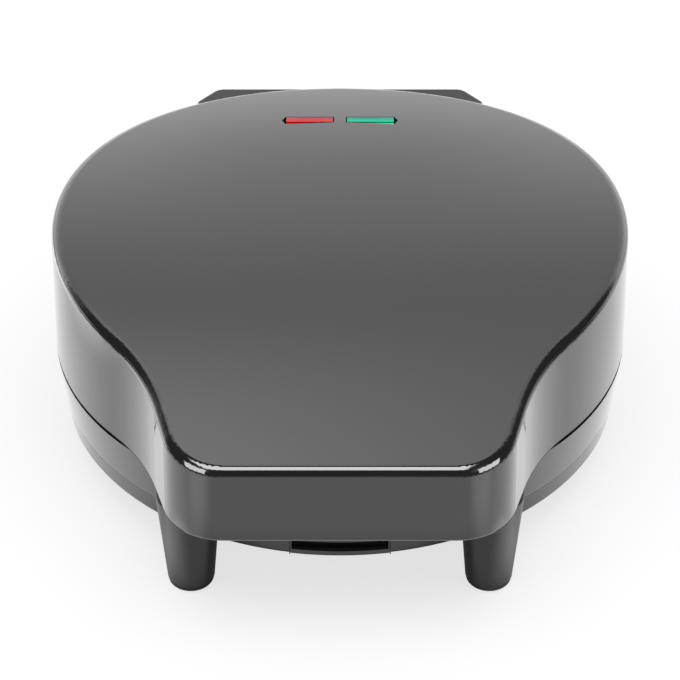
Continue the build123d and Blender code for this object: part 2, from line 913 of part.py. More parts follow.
def latch_lever():
    """Rocking lever in the notch: finger scoop below, barrel in the middle, hook above."""
    low = wall_foot + 0.4
    high = rim_height - 0.5
    half = notch_half_width - latch_side_gap
    grip_y = wall_front(low) + latch_grip_depth
    profile = polygon([
        (wall_front(low) - 1, low),
        (wall_front(high) - 1, high),
        (wall_front(high) + latch_plate, high),
        (wall_front(latch_pivot_z) + latch_plate, latch_pivot_z - 6),
        (grip_y, low + latch_grip_height),
        (grip_y, low),
    ])
    lever = extrude(Plane.YZ * profile, amount=half, both=True) & base_solid(0, 0, rim_height)
    web_front = wall_front(latch_pivot_z) + 1
    web = box_between((-half, web_front, latch_pivot_z - 2), (half, latch_pivot_y, latch_pivot_z + 2))
    lever += rod_x(latch_barrel, half, latch_pivot_y, latch_pivot_z) + web
    lever += latch_hook()
    scoop_front = wall_front(low) - 2
    scoop_back = wall_front(low) + scoop_depth
    scoop = polygon([
        (scoop_front, wall_foot + scoop_low),
        (scoop_front, wall_foot + scoop_high),
        (wall_front(low) + scoop_depth * 0.4, wall_foot + scoop_high),
        (scoop_back, wall_foot + scoop_low + 1.2),
        (scoop_back, wall_foot + scoop_low),
    ])
    lever -= extrude(Plane.YZ * scoop, amount=half - scoop_cheek, both=True)
    return lever - rod_x(latch_pin_radius + pin_run, half + 1, latch_pivot_y, latch_pivot_z)


def latch_hook():
    foot = wall_front(rim_height) + latch_plate - 2
    hook = polygon([
        (hook_front, rim_height - 1.5),
        (foot, rim_height - 1.5),
        (foot, rim_height - 6),
        (hook_rear, rim_height - 6),
        (hook_rear, hook_top - 0.8),
        (hook_rear - 0.8, hook_top),
        (hook_front - 0.6, hook_top),
        (hook_nose, hook_nose_low + 1.2),
        (hook_nose, hook_nose_low),
        (hook_front, hook_nose_low),
    ])
    return extrude(Plane.YZ * hook, amount=hook_half_width, both=True)


def latch_pin():
    return rod_x(latch_pin_radius, notch_half_width + 1.6, latch_pivot_y, latch_pivot_z)


# Base electrics

def foot_screw_places():
    return [(0, sensor_y - sensor_hole_offset), (0, sensor_y + sensor_hole_offset)]


def thermostat():
    """Snap-disc thermostat on an oval foot, with two blades below."""
    length, width, sheet = sensor_foot
    foot_low = pocket_underside - sheet
    body_low = foot_low - sensor_height
    foot = extrude(Pos(0, sensor_y, foot_low) * Rot(0, 0, 90) * SlotOverall(length, width), amount=sheet)
    body = post(0, sensor_y, sensor_radius, body_low, foot_low)
    body = fillet(body.edges().sort_by(Axis.Z)[0], 0.8)
    unit = foot + body
    blade = Pos(0, sensor_y, body_low) * Box(*blade_size, align=(Align.CENTER, Align.CENTER, Align.MAX))
    for x in (-blade_offset, blade_offset):
        unit += Pos(x, 0, 0) * blade
    for x, y in foot_screw_places():
        unit -= post(x, y, sensor_screw[1] + screw_play, foot_low - 2, pocket_underside + 1)
    return unit


def thermal_fuse():
    """Cartridge fuse that lies along the divider, with a wire at each end."""
    z = pocket_underside - fuse_radius - snug
    half = fuse_length / 2
    body = rod(fuse_radius, (0, fuse_y - half, z), (0, fuse_y + half, z))
    return body + rod(fuse_wire, (0, fuse_y - half - 5, z), (0, fuse_y + half + 5, z))


def fuse_clip():
    """Small strap over the fuse, held by one screw at its long ear."""
    middle = -fuse_radius - snug
    inner = fuse_radius + snug * 0.75
    outer = inner + fuse_clip_sheet
    strap = Pos(0, middle) * Circle(outer) + box_face(-outer, middle, outer, 0)
    strap -= Pos(0, middle) * Circle(inner) + box_face(-inner, middle, inner, 1)
    strap += box_face(inner, -fuse_clip_sheet, fuse_screw_x + 2.4, 0)
    clip = Pos(0, fuse_y, pocket_underside) * extrude(Plane.XZ * strap, amount=3.0, both=True)
    return clip - post(fuse_screw_x, fuse_y, sensor_screw[1] + 0.4, pocket_underside - 2, pocket_underside + 1)


def sensor_screws():
    foot_face = pocket_underside - sensor_foot[2]
    clip_face = pocket_underside - fuse_clip_sheet
    screws = [Pos(x, y, foot_face) * pan_screw(sensor_screw) for x, y in foot_screw_places()]
    return group(screws + [Pos(fuse_screw_x, fuse_y, clip_face) * pan_screw(sensor_screw)])


def terminal_block():
    """Two-way ceramic block on the floor of the cover."""
    width, depth, height = block_size
    body = Box(width, depth, height, align=(Align.CENTER, Align.CENTER, Align.MIN))
    body = fillet(body.edges().filter_by(Axis.Z), 1.0)
    for x in (-block_hole_x, block_hole_x):
        body -= Pos(x, 0, height / 2) * Rot(90, 0, 0) * Cylinder(block_hole, depth + 2)
        body -= Pos(x, 0, height) * Cylinder(block_hole - 0.3, height)
    x, y = around(block_ring, [block_angle])[0]
    return Pos(x, y, cover_floor) * Rot(0, 0, block_angle - 90) * body


def gland_face():
    """How far back the base's rear wall reaches beside the gland's collar."""
    return base_radius(inlet_height + inlet_collar)


def cord_gland():
    """Collared bush in the rear wall that the supply lead passes through."""
    face = gland_face()
    inner = face - base_wall - 3.0
    outer = face + inlet_reach
    bush = rod(inlet_body, (0, inner, inlet_height), (0, outer, inlet_height))
    bush = fillet(bush.edges().filter_by(GeomType.CIRCLE).sort_by(Axis.Y)[-1], 1.2)
    collar = rod(inlet_collar, (0, face + 0.05, inlet_height), (0, face + 2.2, inlet_height))
    collar = fillet(collar.edges().filter_by(GeomType.CIRCLE).sort_by(Axis.Y)[-1], 0.8)
    return bush + collar - rod(inlet_bore, (0, inner - 1, inlet_height), (0, outer + 1, inlet_height))


def clamp_rear():
    """Rear of the cord clamp, just inside the cover's tongue."""
    return sqrt((tongue - tongue_wall) ** 2 - clamp_half_width ** 2) - seat_gap


def clamp_screw_places():
    middle = clamp_rear() - clamp_depth / 2
    return [(-clamp_screw_x, middle), (clamp_screw_x, middle)]


def cord_clamp():
    """Saddle on the cover floor and a bar over it that grip the cord between them."""
    rear = clamp_rear()
    front = rear - clamp_depth
    half = clamp_half_width
    split = inlet_height + 0.2
    bar_top = inlet_height + inlet_bore + clamp_bar_wall
    saddle = box_between((-half, front, cover_floor), (half, rear, split))
    bar = box_between((-half, front, split + 0.4), (half, rear, bar_top))
    bar = fillet(bar.edges().filter_by(Axis.Y).sort_by(Axis.Z)[-2:], 1.5)
    channel = rod(inlet_bore, (0, front - 1, inlet_height), (0, rear + 1, inlet_height))
    for x, y in clamp_screw_places():
        bar -= post(x, y, clamp_screw[1] + screw_play, split, bar_top + 1)
        saddle -= post(x, y, clamp_screw[1] + 0.05, cover_floor + 2, split + 1)
    return group([saddle - channel, bar - channel])


def clamp_screws():
    face = inlet_height + inlet_bore + clamp_bar_wall
    return group([Pos(x, y, face) * Rot(180, 0, 0) * pan_screw(clamp_screw) for x, y in clamp_screw_places()])


def lead(points, bend, radius):
    """Insulated wire along straight runs joined by arcs."""
    path = FilletPolyline(*points, radius=bend)
    start = Plane(origin=points[0], z_dir=Vector(*points[1]) - Vector(*points[0]))
    return sweep(start * Circle(radius), path=path)


def block_point(along, inward, height):
    """A point measured from the terminal block's middle, along it and towards the body's axis."""
    turn = radians(block_angle)
    x = (block_ring - inward) * cos(turn) + along * sin(turn)
    y = (block_ring - inward) * sin(turn) - along * cos(turn)
    return (x, y, height)


def base_leads():
    """Supply wire to the block, and one on under the reflector to the thermostat."""
    clamp_y = clamp_rear() - clamp_depth - seat_gap
    turn_y = clamp_y - 4.6
    entry_z = inlet_height - 2
    hole_z = cover_floor + block_size[2] / 2
    floor_z = cover_floor + supply_radius + 0.2
    low = belly_floor + feed_radius + 0.6
    supply = lead([
        (-1.4, clamp_y, entry_z),
        (-1.4, turn_y, entry_z),
        (-9, turn_y, floor_z),
        (-34, turn_y, floor_z),
        block_point(block_hole_x + 10, 8.0, hole_z),
        block_point(block_hole_x, 8.0, hole_z),
        block_point(block_hole_x, 3.2, hole_z),
    ], 1.8, supply_radius)
    under_edge = block_ring - reflector_floor_radius - 1.4
    feed = lead([
        block_point(-block_hole_x, 3.2, hole_z),
        block_point(-block_hole_x, 7.6, hole_z),
        block_point(-block_hole_x, under_edge, reflector_low - 1.4),
        block_point(-block_hole_x, under_edge + 6.0, low),
        (-21, 26, low),
        (-17, sensor_y, low),
        (-blade_offset - blade_size[0] / 2 - feed_radius - seat_gap, sensor_y, low + 1.6),
    ], 2.0, feed_radius)
    return group([supply, feed])


def hinge_lead_base():
    """Sleeved wires that leave the base and turn onto the hinge axis."""
    return lead([
        (sleeve_x, collar_radius + 1.4, sleeve_exit),
        (sleeve_x, hinge_y, sleeve_exit),
        (sleeve_x, hinge_y, hinge_z),
        (sleeve_x + sleeve_bend + sleeve_run, hinge_y, hinge_z),
    ], sleeve_bend, sleeve_radius)


def hinge_lead_lid():
    """The same sleeve on the lid's side of the joint, where it twists about the hinge axis."""
    start = lid_sleeve_x - sleeve_bend - sleeve_run
    return lead([
        (start, hinge_y, hinge_z),
        (lid_sleeve_x, hinge_y, hinge_z),
        (lid_sleeve_x, hinge_y, lid_lead_height),
        (lid_sleeve_x, lid_lead_start, lid_lead_height),
    ], sleeve_bend, sleeve_radius)


# Lid

def window_plan(gap):
    """Plan of one indicator window on the +X side, or of its lens when gap shrinks it."""
    return polygon([
        (lens_inner_x + gap, lens_rear - gap),
        (lens_outer_x - gap * 0.4, lens_rear - gap),
        (lens_point_x - gap * 4, lens_point_y),
        (lens_outer_x - gap * 0.9, lens_front_outer + gap),
        (lens_inner_x + gap, lens_front_inner + gap),
    ])


def window_block(gap, low, high):
    return extrude(Pos(0, 0, low) * window_plan(gap), amount=high - low)


def lid_boss_places():
    handle_y = handle_boss_inset - handle_reach
    return around(lid_boss_ring, lid_boss_angles) + [(-handle_boss_x, handle_y), (handle_boss_x, handle_y)]


def block_screw_places():
    return (-block_screw_outer, -block_screw_inner, block_screw_inner, block_screw_outer)


def skirt_y(x, height):
    """Where the lid's rear skirt stands at x, outside."""
    radius = body_radius - tan(radians(lid_draft)) * (height - lid_edge)
    return sqrt(radius ** 2 - x ** 2)


def upper_housing():
    inside = lid_form(lid_wall, lid_edge - 1, 1.2)
    core = lid_form(lid_wall - 0.6, lid_edge - 1, 1.2)
    shell = lid_form(0, lid_edge, crown_edge) - inside
    pad_top = frame_top + frame_pad
    fittings = [cone(x, y, 3.1, 3.9, pad_top, crown_height) for x, y in lid_boss_places()]
    for side in (-1, 1):
        fittings.append(post(side * lamp_screw_x, lamp_y, 3.0, lamp_ear_top, crown_height))
    rib_front = rib_inset - handle_reach
    rib_low = crown_height - rib_depth
    half = rib_width / 2
    rib_rear = rib_front + rib_length
    for x in rib_places:
        fittings.append(box_between((x - half, rib_front, rib_low), (x + half, rib_rear, crown_height)))
    cross_y = cross_rib_inset - body_radius
    cross_low = crown_height - 2 * rib_depth
    fittings.append(box_between(
        (-cross_rib_half, cross_y - half, cross_low), (cross_rib_half, cross_y + half, crown_height)))
    shell += joined(fittings) & core
    window = window_block(0, crown_height - 20, crown_height + 2)
    shell -= window + window.mirror(Plane.YZ)
    thread_top = frame_screw_seat + frame_screw[0] + screw_play
    for x, y in lid_boss_places():
        shell -= post(x, y, frame_screw[1] + 0.05, pad_top - 1, thread_top)
    for side in (-1, 1):
        shell -= post(side * lamp_screw_x, lamp_y, lamp_screw[1] + 0.05, lamp_ear_top - 1, lamp_ear_top + 6)
    for x in block_screw_places():
        y = skirt_y(x, block_screw_z)
        shell -= rod(block_screw[1] + screw_play, (x, y - 12, block_screw_z), (x, y + 3, block_screw_z))
    inner = (lid_sleeve_x, lid_lead_start, lid_lead_height)
    shell -= rod(sleeve_radius + snug, inner, (lid_sleeve_x, body_radius + 2, lid_lead_height))
    return shell


def lid_inner_frame():
    """Moulded underside of the lid: the upper plate's surround and the floor of the handle."""
    inset = lid_wall + snug
    frame = drafted(inset, frame_low, frame_top)
    kerb = drafted(inset, frame_top - 0.5, frame_top + kerb_height)
    kerb -= drafted(inset + kerb_wall, frame_top - 1, frame_top + kerb_height + 1)
    for x, y in lid_boss_places():
        kerb -= post(x, y, 4.4, frame_top, frame_top + kerb_height + 1)
    frame += kerb
    pads = joined([post(x, y, 3.4, frame_low, frame_top + frame_pad) for x, y in lid_boss_places()])
    frame += pads & drafted(inset, frame_low, frame_top + kerb_height)
    frame += grip_well(frame_thickness, frame_low)
    collar_top = upper_ledge + ledge_thickness
    frame -= post(0, 0, seat_radius, frame_low - 1, upper_ledge)
    frame -= post(0, 0, ledge_radius, frame_low - 1, collar_top + 5)
    frame += turned([
        (seat_radius, frame_low),
        (seat_radius, upper_ledge),
        (ledge_radius, upper_ledge),
        (ledge_radius, collar_top),
        (collar_radius, collar_top),
        (collar_radius, frame_low),
    ])
    frame -= grip_well(0.0, frame_low - 0.1)
    slot_half = hook_half_width + hook_side_gap
    catch_half = hook_half_width + catch_depth
    frame += box_between((-catch_half, catch_y - catch_depth, frame_low), (catch_half, catch_y, catch_top))
    frame -= box_between(
        (-slot_half, catch_y, frame_low - 1), (slot_half, -collar_radius - 0.2, frame_top + kerb_height + 1))
    for x, y in lid_boss_places():
        frame -= post(x, y, frame_screw[1] + screw_play, frame_low - 1, frame_top + frame_pad + 1)
        frame -= post(x, y, frame_screw[2] + 0.4, frame_low - 1, frame_screw_seat)
    return frame


def grip_well(wall, low):
    """Shallow well for the fingertips under the front of the handle, or the cup around it."""
    front = lid_wall + grip_front - handle_reach - wall
    rear = front + grip_length + 2 * wall
    half = grip_half_width + wall
    well = box_between((-half, front, low), (half, rear, frame_low + grip_depth + wall))
    return fillet(well.edges().filter_by(Axis.Z), 4.0 + wall)


def block_form(inset, low, high):
    """Hinge block's plan with round rear corners, leaning in as the lid's skirt does."""
    half = block_half_width - inset
    rear = block_rear - inset
    front = rear - 50
    bend = rear - block_shoulder_depth
    narrow = half - block_shoulder
    plan = polygon([(-half, front), (half, front), (half, bend), (narrow, rear), (-narrow, rear), (-half, bend)])
    plan = fillet(plan.vertices().sort_by(Axis.Y)[-2:], block_corner - inset)
    lean = degrees(atan2(block_lean, block_rise))
    return extrude(Pos(0, 0, low) * plan, amount=high - low, taper=lean)


def hinge_block():
    low = lid_edge + block_foot_rise
    far = block_rear + 5
    near = block_rear - 50
    form = block_form(0, low, block_top)
    top = form.faces().sort_by(Axis.Z)[-1]
    form = fillet(top.edges(), 1.5)
    foot = form.faces().sort_by(Axis.Z)[0]
    form = fillet(foot.edges().sort_by(Axis.Y)[-1], 3.0)
    block = form - block_form(block_wall, low + block_wall, block_top - block_wall)
    roof = hinge_z + lug_radius + lug_swing_gap
    slot_low = lug_inner_x - lug_side_gap
    slot_high = lug_inner_x + lug_width + lug_side_gap
    for side in (-1, 1):
        x_low, x_high = both_sides(slot_low - cheek, slot_high + cheek, side)
        block += box_between((x_low, near, low), (x_high, block_rear, roof + block_wall)) & form
    for x in block_screw_places():
        y = skirt_y(x, block_screw_z)
        block += rod(block_screw[1] + 2.15, (x, y - 6, block_screw_z), (x, block_rear, block_screw_z)) & form
    for side in (-1, 1):
        x_low, x_high = both_sides(slot_low, slot_high, side)
        block -= box_between((x_low, near, 0), (x_high, far, roof))
    block -= rod_x(pin_radius + pin_run, slot_high + cheek + 1, hinge_y, hinge_z) - box_between(
        (cheek - slot_low, near, 0), (slot_low - cheek, far, roof + 1))
    gap = 1.0
    stub_end = sleeve_x + sleeve_bend + sleeve_run
    block -= box_between((sleeve_x - sleeve_radius - gap, near, 0), (stub_end, far, roof))
    lid_stub = lid_sleeve_x + sleeve_radius + gap
    block -= box_between((stub_end - 1, near, 0), (lid_stub, hinge_y + sleeve_radius + gap, low + block_wall))
    block -= drafted(-block_skin_gap, lid_edge - 1, crown_height + 5)
    for x in block_screw_places():
        y = skirt_y(x, block_screw_z)
        block -= rod(block_screw[1] + 0.05, (x, y - 10, block_screw_z), (x, y + 6, block_screw_z))
    return block


def hinge_pin(side):
    half = lug_width / 2 + lug_side_gap + cheek
    middle = side * (lug_inner_x + lug_width / 2)
    pin = rod(pin_radius, (middle - half, hinge_y, hinge_z), (middle + half, hinge_y, hinge_z))
    return chamfer(pin.edges().filter_by(GeomType.CIRCLE), 0.4)


def block_screws():
    screws = []
    inner_skirt = body_radius - lid_wall - tan(radians(lid_draft)) * (block_screw_z - lid_edge) - 0.3
    for x in block_screw_places():
        seat = sqrt(inner_skirt ** 2 - (abs(x) + block_screw[2] + 0.5) ** 2) - 0.4
        screw = pan_screw(block_screw, skirt_y(x, block_screw_z) - seat)
        screws.append(Pos(x, seat, block_screw_z) * Rot(-90, 0, 0) * screw)
    return group(screws)


def frame_screws():
    return upright_screws(lid_boss_places(), frame_screw_seat, frame_screw)


# Indicator lamps

def lens(side):
    """Clear moulding with a low ridge along it and a flange under the lid's skin."""
    body = window_block(lens_gap, lens_low + 0.8, crown_height + 2)
    ridge_y = (lens_rear + lens_front_inner) / 2 - 0.4
    front = lens_front_outer - 1
    rear = lens_rear + 1
    under = lens_low - 2
    roof = polygon([
        (front, under),
        (front, crown_line(lens_front_outer) - 0.4),
        (ridge_y, crown_line(ridge_y) + lens_ridge),
        (rear, crown_line(lens_rear) - 0.4),
        (rear, under),
    ])
    body = body & extrude(Plane.YZ * roof, amount=lens_point_x + 10, both=True)
    piece = body + window_block(-lens_flange, lens_low, lens_low + 1.0)
    return piece if side > 0 else piece.mirror(Plane.YZ)


def lamp(side):
    """Neon lamp lying under its lens: a glass tube with two wires."""
    start = side * (lens_inner_x + lamp_start)
    glass_end = start + side * lamp_length
    glass = rod(lamp_radius, (start, lamp_y, lamp_z), (glass_end, lamp_y, lamp_z))
    glass = fillet(glass.edges().filter_by(GeomType.CIRCLE), 1.0)
    for y in (lamp_y - 1.2, lamp_y + 1.2):
        glass += rod(0.35, (glass_end - side, y, lamp_z), (side * lamp_wire_end, y, lamp_z))
    return glass


def lamp_holder():
    """Open tray that screws up under the crown and keeps each lamp's light to its own lens."""
    half_x = lens_point_x + 3.2
    low_y = lamp_y - holder_half_depth
    high_y = lamp_y + holder_half_depth
    floor = lamp_z - lamp_radius - 0.3
    top = lens_low - snug
    ear_low = lamp_ear_top - 2.0
    tray = box_between((-half_x, low_y, floor - holder_wall), (half_x, high_y, top))
    tray = fillet(tray.edges().filter_by(Axis.Z), 1.5)
    for side in (-1, 1):
        x_low, x_high = both_sides(0.8, half_x - holder_wall, side)
        tray -= box_between((x_low, low_y + holder_wall, floor), (x_high, high_y - holder_wall, top + 1))
        x_low, x_high = both_sides(half_x - 1, lamp_screw_x + 3.4, side)
        ear = box_between((x_low, lamp_y - 3.4, ear_low), (x_high, lamp_y + 3.4, lamp_ear_top))
        corners = ear.edges().filter_by(Axis.Z).sort_by(Axis.X)
        ear = fillet(corners[-2:] if side > 0 else corners[:2], 2.0)
        tray += ear - post(side * lamp_screw_x, lamp_y, lamp_screw[1] + 0.45, ear_low - 1, lamp_ear_top + 1)
        for along in (1.4, lamp_length - 3.1):
            x = side * (lens_inner_x + lamp_start + along)
            cradle = box_between((x - 0.6, low_y + 1, floor - 0.5), (x + 0.6, high_y - 1, lamp_z))
            tray += cradle - rod(lamp_radius + 0.15, (x - 2, lamp_y, lamp_z), (x + 2, lamp_y, lamp_z))
        wire_x = side * lamp_lead_x
        tray -= rod(lamp_lead_radius + snug, (wire_x, lamp_y, lamp_z), (wire_x, high_y + 1, lamp_z))
    return tray


def lamp_screws():
    places = [(-lamp_screw_x, lamp_y), (lamp_screw_x, lamp_y)]
    return upright_screws(places, lamp_ear_top - 2.0, lamp_screw)


def lid_leads():
    """Wires from the hinge to the upper ring's tail and up to each lamp."""
    start_y = lid_lead_start - seat_gap
    ring_z = 2 * mirror_height - element_z
    tail_y = element_tail_y + element_pin + 0.2
    low = lid_lead_height - 1.2
    high = lid_lead_height + 0.6
    leads = [lead([
        (lid_sleeve_x, start_y, low),
        (lid_sleeve_x, start_y - 3.5, low),
        (element_tail_x, tail_y + 4.0, ring_z),
        (element_tail_x, tail_y, ring_z),
    ], 1.0, lamp_lead_radius)]
    for side in (-1, 1):
        start_x = lid_sleeve_x + side * 1.1
        lamp_x = side * lamp_lead_x
        leads.append(lead([
            (start_x, start_y, high),
            (start_x, start_y - 5, high),
            (lamp_x, lamp_y + 13, lamp_z - 3),
            (lamp_x, lamp_y + 9, lamp_z),
            (lamp_x, lamp_y - 1, lamp_z),
        ], 1.5, lamp_lead_radius))
    return group(leads)


def main():
    pieces = {
        "lower_housing": lower_housing(),
        "bottom_cover": bottom_cover(),
        "cover_screws": cover_screws(),
        "front_leg_left": front_leg(-1),
        "front_leg_right": front_leg(1),
        "leg_screws": leg_screws(),
        "front_foot_pad_left": front_pad(-1),
        "front_foot_pad_right": front_pad(1),
        "rear_foot_pad_left": rear_pad(-1),
        "rear_foot_pad_right": rear_pad(1),
        "lower_plate": lower_plate(),
        "lower_heating_element": heating_element(),
        "lower_element_clips": element_clips(),
        "lower_reflector": reflector(True),
        "lower_plate_screws": plate_screws(),
        "thermostat": thermostat(),
        "thermal_fuse": thermal_fuse(),
        "fuse_clip": fuse_clip(),
        "sensor_screws": sensor_screws(),
        "terminal_block": terminal_block(),
        "cord_gland": cord_gland(),
        "cord_clamp": cord_clamp(),
        "clamp_screws": clamp_screws(),
        "base_leads": base_leads(),
        "hinge_lead_base": hinge_lead_base(),
        "hinge_pin_left": hinge_pin(-1),
        "hinge_pin_right": hinge_pin(1),
        "latch_lever": latch_lever(),
        "latch_pin": latch_pin(),
        "upper_housing": upper_housing(),
        "lid_inner_frame": lid_inner_frame(),
        "frame_screws": frame_screws(),
        "hinge_block": hinge_block(),
        "hinge_block_screws": block_screws(),
        "upper_plate": upper_plate(),
        "upper_heating_element": upper(heating_element()),
        "upper_element_clips": upper(element_clips()),
        "upper_reflector": upper(reflector(False)),
        "upper_plate_screws": upper(plate_screws()),
        "red_lens": lens(-1),
        "green_lens": lens(1),
        "red_lamp": lamp(-1),
        "green_lamp": lamp(1),
        "lamp_holder": lamp_holder(),
        "lamp_screws": lamp_screws(),
        "lid_leads": lid_leads(),
        "hinge_lead_lid": hinge_lead_lid(),
    }
    for name, shape in pieces.items():
        export(name, shape)


main()
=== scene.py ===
import json
from math import radians

import bmesh
import bpy
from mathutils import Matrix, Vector


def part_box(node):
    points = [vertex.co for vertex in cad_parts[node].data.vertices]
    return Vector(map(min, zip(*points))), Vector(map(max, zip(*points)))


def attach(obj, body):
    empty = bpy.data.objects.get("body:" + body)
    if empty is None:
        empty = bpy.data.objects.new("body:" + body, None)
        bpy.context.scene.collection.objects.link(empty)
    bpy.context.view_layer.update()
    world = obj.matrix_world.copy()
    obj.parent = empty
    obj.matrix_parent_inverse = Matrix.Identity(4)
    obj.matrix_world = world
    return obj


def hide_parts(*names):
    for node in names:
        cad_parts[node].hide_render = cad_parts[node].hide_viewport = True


# Omelette maker, closed, on a plain pale floor.
# Metres, in the CAD model's own frame: +Z up, -Y to the front, +X to the right from the front.

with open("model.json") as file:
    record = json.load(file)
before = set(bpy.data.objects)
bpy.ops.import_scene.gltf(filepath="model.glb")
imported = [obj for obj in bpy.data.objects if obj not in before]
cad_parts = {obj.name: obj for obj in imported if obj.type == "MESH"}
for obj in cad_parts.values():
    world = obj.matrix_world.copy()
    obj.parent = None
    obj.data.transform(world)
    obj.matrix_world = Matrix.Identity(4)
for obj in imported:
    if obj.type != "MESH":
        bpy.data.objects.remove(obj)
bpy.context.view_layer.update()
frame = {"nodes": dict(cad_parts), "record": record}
nodes = frame["nodes"]


class Wire:
    """A number on its way through a node tree. Arithmetic on it adds Math nodes."""

    def __init__(self, tree, socket):
        self.tree = tree
        self.socket = socket

    def math(self, operation, first, second=0.0, third=0.0, clamp=False):
        settings = {"operation": operation, "use_clamp": clamp}
        return self.tree.node("ShaderNodeMath", settings, {0: first, 1: second, 2: third})

    def __add__(self, other):
        return self.math("ADD", self, other)

    def __radd__(self, other):
        return self.math("ADD", other, self)

    def __sub__(self, other):
        return self.math("SUBTRACT", self, other)

    def __rsub__(self, other):
        return self.math("SUBTRACT", other, self)

    def __mul__(self, other):
        return self.math("MULTIPLY", self, other)

    def __rmul__(self, other):
        return self.math("MULTIPLY", other, self)

    def __truediv__(self, other):
        return self.math("DIVIDE", self, other)

    def __rtruediv__(self, other):
        return self.math("DIVIDE", other, self)

    def __pow__(self, other):
        return self.math("POWER", self, other)

    def __neg__(self):
        return self.math("MULTIPLY", self, -1.0)

    def clamped(self):
        return self.math("MULTIPLY", self, 1.0, clamp=True)

    def size(self):
        return self.math("ABSOLUTE", self)

    def wave(self):
        return self.math("SINE", self)

    def between(self, low, high):
        """0 below low, 1 above high, a soft step between them. low may be above high."""
        settings = {"interpolation_type": "SMOOTHSTEP", "clamp": True}
        flip = low > high
        values = {"Value": self, "From Min": min(low, high), "From Max": max(low, high)}
        values["To Min"] = 1.0 if flip else 0.0
        values["To Max"] = 0.0 if flip else 1.0
        return self.tree.node("ShaderNodeMapRange", settings, values)


class Nodes:
    """A node tree under construction."""

    def __init__(self, tree):
        self.tree = tree
        tree.nodes.clear()

    def node(self, kind, settings=None, values=None, output=0):
        """Adds a node, sets it up, fills or links its sockets and returns one output."""
        made = self.tree.nodes.new(kind)
        for name, value in (settings or {}).items():
            setattr(made, name, value)
        for key, value in (values or {}).items():
            socket = self.find(made.inputs, key)
            if isinstance(value, Wire):
                self.tree.links.new(value.socket, socket)
            else:
                socket.default_value = value
        return Wire(self, self.find(made.outputs, output)) if made.outputs else made

    def find(self, sockets, key):
        if isinstance(key, int):
            return sockets[key]
        for socket in sockets:
            if socket.identifier == key:
                return socket
        return sockets[key]

    def place(self):
        """Object coordinates, in metres."""
        return self.node("ShaderNodeTexCoord", output="Object")

    def split(self, vector):
        made = self.tree.nodes.new("ShaderNodeSeparateXYZ")
        self.tree.links.new(vector.socket, made.inputs[0])
        return [Wire(self, made.outputs[i]) for i in range(3)]

    def stretch(self, vector, scale):
        return self.node("ShaderNodeVectorMath", {"operation": "MULTIPLY"}, {0: vector, 1: scale})

    def noise(self, vector, scale, detail=2.0, rough=0.5):
        values = {"Vector": vector, "Scale": scale, "Detail": detail, "Roughness": rough}
        return self.node("ShaderNodeTexNoise", None, values)

    def cells(self, vector, scale, output="Distance"):
        values = {"Vector": vector, "Scale": scale, "Randomness": 1.0}
        return self.node("ShaderNodeTexVoronoi", {"feature": "F1"}, values, output)

    def mix(self, factor, first, second):
        """Mix of two colours, each a (r, g, b) or a wire."""
        first = first if isinstance(first, Wire) else (*first, 1.0)
        second = second if isinstance(second, Wire) else (*second, 1.0)
        values = {"Factor_Float": factor, "A_Color": first, "B_Color": second}
        return self.node("ShaderNodeMix", {"data_type": "RGBA"}, values, "Result_Color")

    def bump(self, height, depth, distance):
        values = {"Height": height, "Strength": depth, "Distance": distance}
        return self.node("ShaderNodeBump", None, values)

    def light_path(self, *rays):
        """One wire for each named output of a Light Path node."""
        made = self.tree.nodes.new("ShaderNodeLightPath")
        return [Wire(self, made.outputs[ray]) for ray in rays]

    def glow(self, kind, strength):
        """White light from an Emission or a Background node."""
        return self.node(kind, None, {"Color": (1.0, 1.0, 1.0, 1.0), "Strength": strength})


def mm(*values):
    return tuple(v / 1000 for v in values)


# Where the mouldings meet, as heights and depths on the CAD model.
body_axis_y, brow_rear_y, brow_front_y = mm(6.0, -119.5, -121.5)
rim_top_z, lid_edge_z, cover_seam_z = mm(42.1, 43.0, 24.05)

finishes = {}


def finish(name):
    """Decorator: the function fills a new material's shader and is listed under name."""

    def make(fill):
        material = bpy.data.materials.new(name)
        material.use_nodes = True
        t = Nodes(material.node_tree)
        values = fill(t, t.place())
        shader = t.node("ShaderNodeBsdfPrincipled", None, values)
        t.node("ShaderNodeOutputMaterial", None, {"Surface": shader})
        finishes[name] = material
        return fill

    return make


